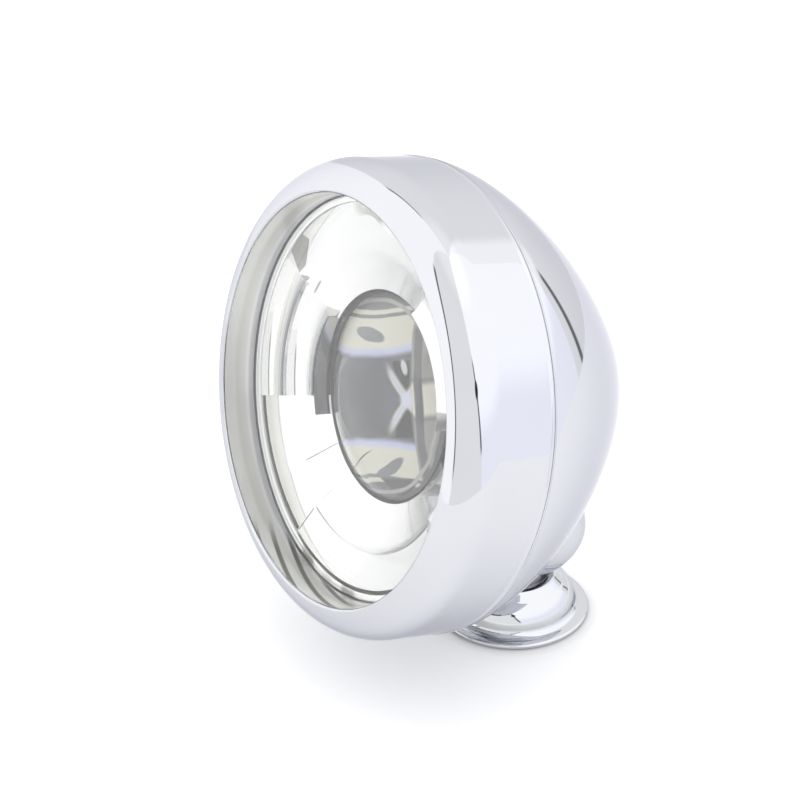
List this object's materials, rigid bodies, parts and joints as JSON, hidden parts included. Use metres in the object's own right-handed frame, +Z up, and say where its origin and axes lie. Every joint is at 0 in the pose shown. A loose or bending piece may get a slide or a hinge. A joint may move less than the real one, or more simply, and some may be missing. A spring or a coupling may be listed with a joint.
{
  "type": "fog light",
  "caption": "Round chromed fog light with a clear front glass over a projector lens, on a tilting ball swivel above a small round screw-down foot.",
  "frame": {"origin": "centre of the foot's underside, on the plane it is screwed down to", "axes": "+Z up out of the foot, -Y the way the beam leaves at rest, +X to the right of someone facing the lamp's front glass"},
  "size_m": [0.1144, 0.0898, 0.1309],
  "materials": {
    "bezel_chrome": "polished",
    "housing_chrome": "polished",
    "foot_chrome": "polished",
    "reflector_mirror": "polished",
    "front_glass": "polished",
    "lens_glass": "polished",
    "bulb_glass": "polished",
    "gasket_rubber": "matte",
    "lead_rubber": "matte",
    "dark_plastic": "matte",
    "frame_steel": "satin",
    "frame_aluminium": "satin",
    "shield_steel": "satin",
    "screw_steel": "satin"
  },
  "bodies": {
    "foot": {"foot": "foot_chrome", "foot_gasket": "gasket_rubber", "wire_grommet": "gasket_rubber", "swivel_ball": "housing_chrome", "swivel_stud": "screw_steel", "spring_washer": "shield_steel", "swivel_nut": "screw_steel"},
    "guide": {"saddle": "screw_steel"},
    "lamp": {"bezel_ring": "bezel_chrome", "bezel_screw": "screw_steel", "glass_gasket": "gasket_rubber", "front_glass": "front_glass", "reflector": "reflector_mirror", "unit_frame": "frame_steel", "frame_screw": "screw_steel", "tube_screw": "screw_steel", "projector_lens": "lens_glass", "lens_ring": "dark_plastic", "lens_tube": "frame_aluminium", "cutoff_shield": "shield_steel", "projector_bowl": "reflector_mirror", "bulb_glass": "bulb_glass", "bulb_filament": "screw_steel", "bulb_base": "shield_steel", "bulb_ring": "shield_steel", "bulb_lead": "lead_rubber", "lead_connector": "dark_plastic", "rim_gasket": "gasket_rubber", "rear_housing": "housing_chrome", "seat_ring": "housing_chrome"}
  },
  "joints": [
    {"name": "pan", "type": "hinge", "parent": "foot", "child": "guide", "pos_m": [0, 0, 0.011], "axis": [0, 0, 1], "range_deg": [-120, 120]},
    {"name": "tilt", "type": "hinge", "parent": "guide", "child": "lamp", "pos_m": [0, 0, 0.011], "axis": [1, 0, 0], "range_deg": [-6.5, 18]}
  ]
}
